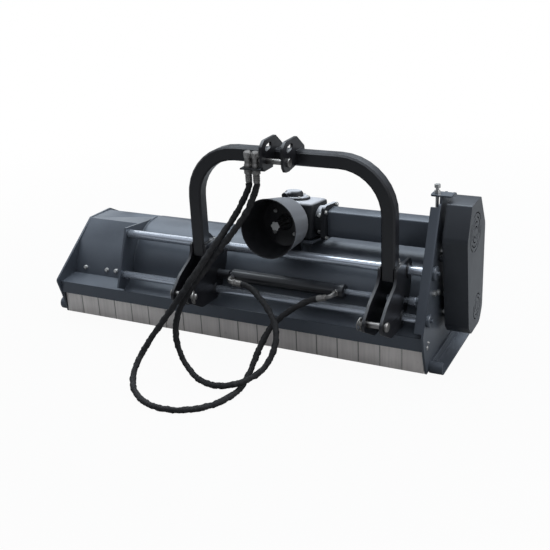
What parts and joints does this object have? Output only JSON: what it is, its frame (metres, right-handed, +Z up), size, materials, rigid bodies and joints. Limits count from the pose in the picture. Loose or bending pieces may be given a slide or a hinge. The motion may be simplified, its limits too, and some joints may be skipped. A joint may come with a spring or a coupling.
{
  "type": "side-shift flail mulcher",
  "caption": "Tractor-mounted flail mulcher: a hood over a hammer rotor driven by belts, with a rear roller and a three-point hitch that a cylinder slides sideways.",
  "frame": {"origin": "Middle of the machine's footprint, hoses left out, on the ground.", "axes": "+X along the rotor towards the belt drive, +Y from the tractor to the rear roller, +Z up"},
  "size_m": [1.737, 1.2047, 0.848],
  "materials": {
    "graphite_paint": "dark graphite powder coat, half gloss",
    "black_paint": "black powder coat, half gloss",
    "galvanised": "bare or passivated steel flaps, dull grey",
    "chrome": "ground and hard-chromed bars",
    "bright_steel": "zinc-plated steel",
    "cast_iron": "cast iron, painted dark",
    "guard_grey": "pressed steel guard, grey powder coat",
    "black_plastic": "moulded black plastic",
    "rubber": "black rubber belts",
    "hose_sleeve": "hydraulic hose in a black woven sleeve",
    "roller_steel": "painted steel tube"
  },
  "bodies": {
    "deck": {"deck_shell": "graphite_paint", "left_side_plate": "graphite_paint", "right_side_plate": "graphite_paint", "end_box": "graphite_paint", "upper_guide_bar": "chrome", "lower_guide_bar": "chrome", "flap_rod": "bright_steel", "gearbox_housing": "cast_iron", "pto_guard": "black_plastic", "drive_tube": "graphite_paint", "belt_guard_backplate": "guard_grey", "belt_guard_cover": "guard_grey", "tensioner_screw": "bright_steel", "left_rotor_bearing": "cast_iron", "right_rotor_bearing": "cast_iron", "left_roller_bracket": "graphite_paint", "right_roller_bracket": "graphite_paint", "left_skid": "black_paint", "right_skid": "black_paint", "cylinder_rod": "chrome", "v_belt_1": "rubber", "v_belt_2": "rubber", "v_belt_3": "rubber"},
    "hitch": {"hitch_arch": "black_paint", "left_fork": "black_paint", "right_fork": "black_paint", "left_hitch_pin": "bright_steel", "right_hitch_pin": "bright_steel", "top_link_pin": "bright_steel", "cylinder_barrel": "black_paint", "coupler_a": "bright_steel", "coupler_b": "bright_steel", "hose_a": "hose_sleeve", "hose_b": "hose_sleeve"},
    "rotor_set": {"rotor": "roller_steel", "lower_pulley": "cast_iron"},
    "drive_set": {"drive_shaft": "bright_steel", "upper_pulley": "cast_iron"},
    "input": {"input_shaft": "bright_steel"},
    "roller": {"rear_roller": "roller_steel"},
    "door": {"rear_door": "graphite_paint"},
    "flap_01": {"front_flap_01": "galvanised"},
    "flap_02": {"front_flap_02": "galvanised"},
    "flap_03": {"front_flap_03": "galvanised"},
    "flap_04": {"front_flap_04": "galvanised"},
    "flap_05": {"front_flap_05": "galvanised"},
    "flap_06": {"front_flap_06": "galvanised"},
    "flap_07": {"front_flap_07": "galvanised"},
    "flap_08": {"front_flap_08": "galvanised"},
    "flap_09": {"front_flap_09": "galvanised"},
    "flap_10": {"front_flap_10": "galvanised"},
    "flap_11": {"front_flap_11": "galvanised"},
    "flap_12": {"front_flap_12": "galvanised"},
    "flap_13": {"front_flap_13": "galvanised"},
    "flap_14": {"front_flap_14": "galvanised"},
    "flap_15": {"front_flap_15": "galvanised"},
    "flap_16": {"front_flap_16": "galvanised"},
    "flap_17": {"front_flap_17": "galvanised"},
    "flap_18": {"front_flap_18": "galvanised"},
    "flap_19": {"front_flap_19": "galvanised"}
  },
  "joints": [
    {"name": "hitch_slide", "type": "slide", "parent": "deck", "child": "hitch", "axis": [1, 0, 0], "range_m": [-0.25, 0.04]},
    {"name": "rotor_spin", "type": "hinge", "parent": "deck", "child": "rotor_set", "pos_m": [0, 0.04, 0.188], "axis": [1, 0, 0], "continuous": true},
    {"name": "drive_spin", "type": "hinge", "parent": "deck", "child": "drive_set", "pos_m": [0.5, -0.023, 0.473], "axis": [1, 0, 0], "continuous": true},
    {"name": "input_spin", "type": "hinge", "parent": "deck", "child": "input", "pos_m": [0.1885, -0.023, 0.473], "axis": [0, 0.9903, -0.1392], "continuous": true},
    {"name": "roller_spin", "type": "hinge", "parent": "deck", "child": "roller", "pos_m": [0, 0.362, 0.068], "axis": [1, 0, 0], "continuous": true},
    {"name": "door_hinge", "type": "hinge", "parent": "deck", "child": "door", "pos_m": [0, 0.234, 0.288], "axis": [1, 0, 0], "range_deg": [0, 75]},
    {"name": "flap_01_swing", "type": "hinge", "parent": "deck", "child": "flap_01", "pos_m": [0, -0.218, 0.118], "axis": [1, 0, 0], "range_deg": [-40, 60]},
    {"name": "flap_02_swing", "type": "hinge", "parent": "deck", "child": "flap_02", "pos_m": [0, -0.218, 0.118], "axis": [1, 0, 0], "range_deg": [-40, 60]},
    {"name": "flap_03_swing", "type": "hinge", "parent": "deck", "child": "flap_03", "pos_m": [0, -0.218, 0.118], "axis": [1, 0, 0], "range_deg": [-40, 60]},
    {"name": "flap_04_swing", "type": "hinge", "parent": "deck", "child": "flap_04", "pos_m": [0, -0.218, 0.118], "axis": [1, 0, 0], "range_deg": [-40, 60]},
    {"name": "flap_05_swing", "type": "hinge", "parent": "deck", "child": "flap_05", "pos_m": [0, -0.218, 0.118], "axis": [1, 0, 0], "range_deg": [-40, 60]},
    {"name": "flap_06_swing", "type": "hinge", "parent": "deck", "child": "flap_06", "pos_m": [0, -0.218, 0.118], "axis": [1, 0, 0], "range_deg": [-40, 60]},
    {"name": "flap_07_swing", "type": "hinge", "parent": "deck", "child": "flap_07", "pos_m": [0, -0.218, 0.118], "axis": [1, 0, 0], "range_deg": [-40, 60]},
    {"name": "flap_08_swing", "type": "hinge", "parent": "deck", "child": "flap_08", "pos_m": [0, -0.218, 0.118], "axis": [1, 0, 0], "range_deg": [-40, 60]},
    {"name": "flap_09_swing", "type": "hinge", "parent": "deck", "child": "flap_09", "pos_m": [0, -0.218, 0.118], "axis": [1, 0, 0], "range_deg": [-40, 60]},
    {"name": "flap_10_swing", "type": "hinge", "parent": "deck", "child": "flap_10", "pos_m": [0, -0.218, 0.118], "axis": [1, 0, 0], "range_deg": [-40, 60]},
    {"name": "flap_11_swing", "type": "hinge", "parent": "deck", "child": "flap_11", "pos_m": [0, -0.218, 0.118], "axis": [1, 0, 0], "range_deg": [-40, 60]},
    {"name": "flap_12_swing", "type": "hinge", "parent": "deck", "child": "flap_12", "pos_m": [0, -0.218, 0.118], "axis": [1, 0, 0], "range_deg": [-40, 60]},
    {"name": "flap_13_swing", "type": "hinge", "parent": "deck", "child": "flap_13", "pos_m": [0, -0.218, 0.118], "axis": [1, 0, 0], "range_deg": [-40, 60]},
    {"name": "flap_14_swing", "type": "hinge", "parent": "deck", "child": "flap_14", "pos_m": [0, -0.218, 0.118], "axis": [1, 0, 0], "range_deg": [-40, 60]},
    {"name": "flap_15_swing", "type": "hinge", "parent": "deck", "child": "flap_15", "pos_m": [0, -0.218, 0.118], "axis": [1, 0, 0], "range_deg": [-40, 60]},
    {"name": "flap_16_swing", "type": "hinge", "parent": "deck", "child": "flap_16", "pos_m": [0, -0.218, 0.118], "axis": [1, 0, 0], "range_deg": [-40, 60]},
    {"name": "flap_17_swing", "type": "hinge", "parent": "deck", "child": "flap_17", "pos_m": [0, -0.218, 0.118], "axis": [1, 0, 0], "range_deg": [-40, 60]},
    {"name": "flap_18_swing", "type": "hinge", "parent": "deck", "child": "flap_18", "pos_m": [0, -0.218, 0.118], "axis": [1, 0, 0], "range_deg": [-40, 60]},
    {"name": "flap_19_swing", "type": "hinge", "parent": "deck", "child": "flap_19", "pos_m": [0, -0.218, 0.118], "axis": [1, 0, 0], "range_deg": [-40, 60]}
  ],
  "couplings": [
    {"joint": "drive_spin", "follows": "rotor_spin", "ratio": 0.70588},
    {"joint": "input_spin", "follows": "rotor_spin", "ratio": 0.23529}
  ]
}
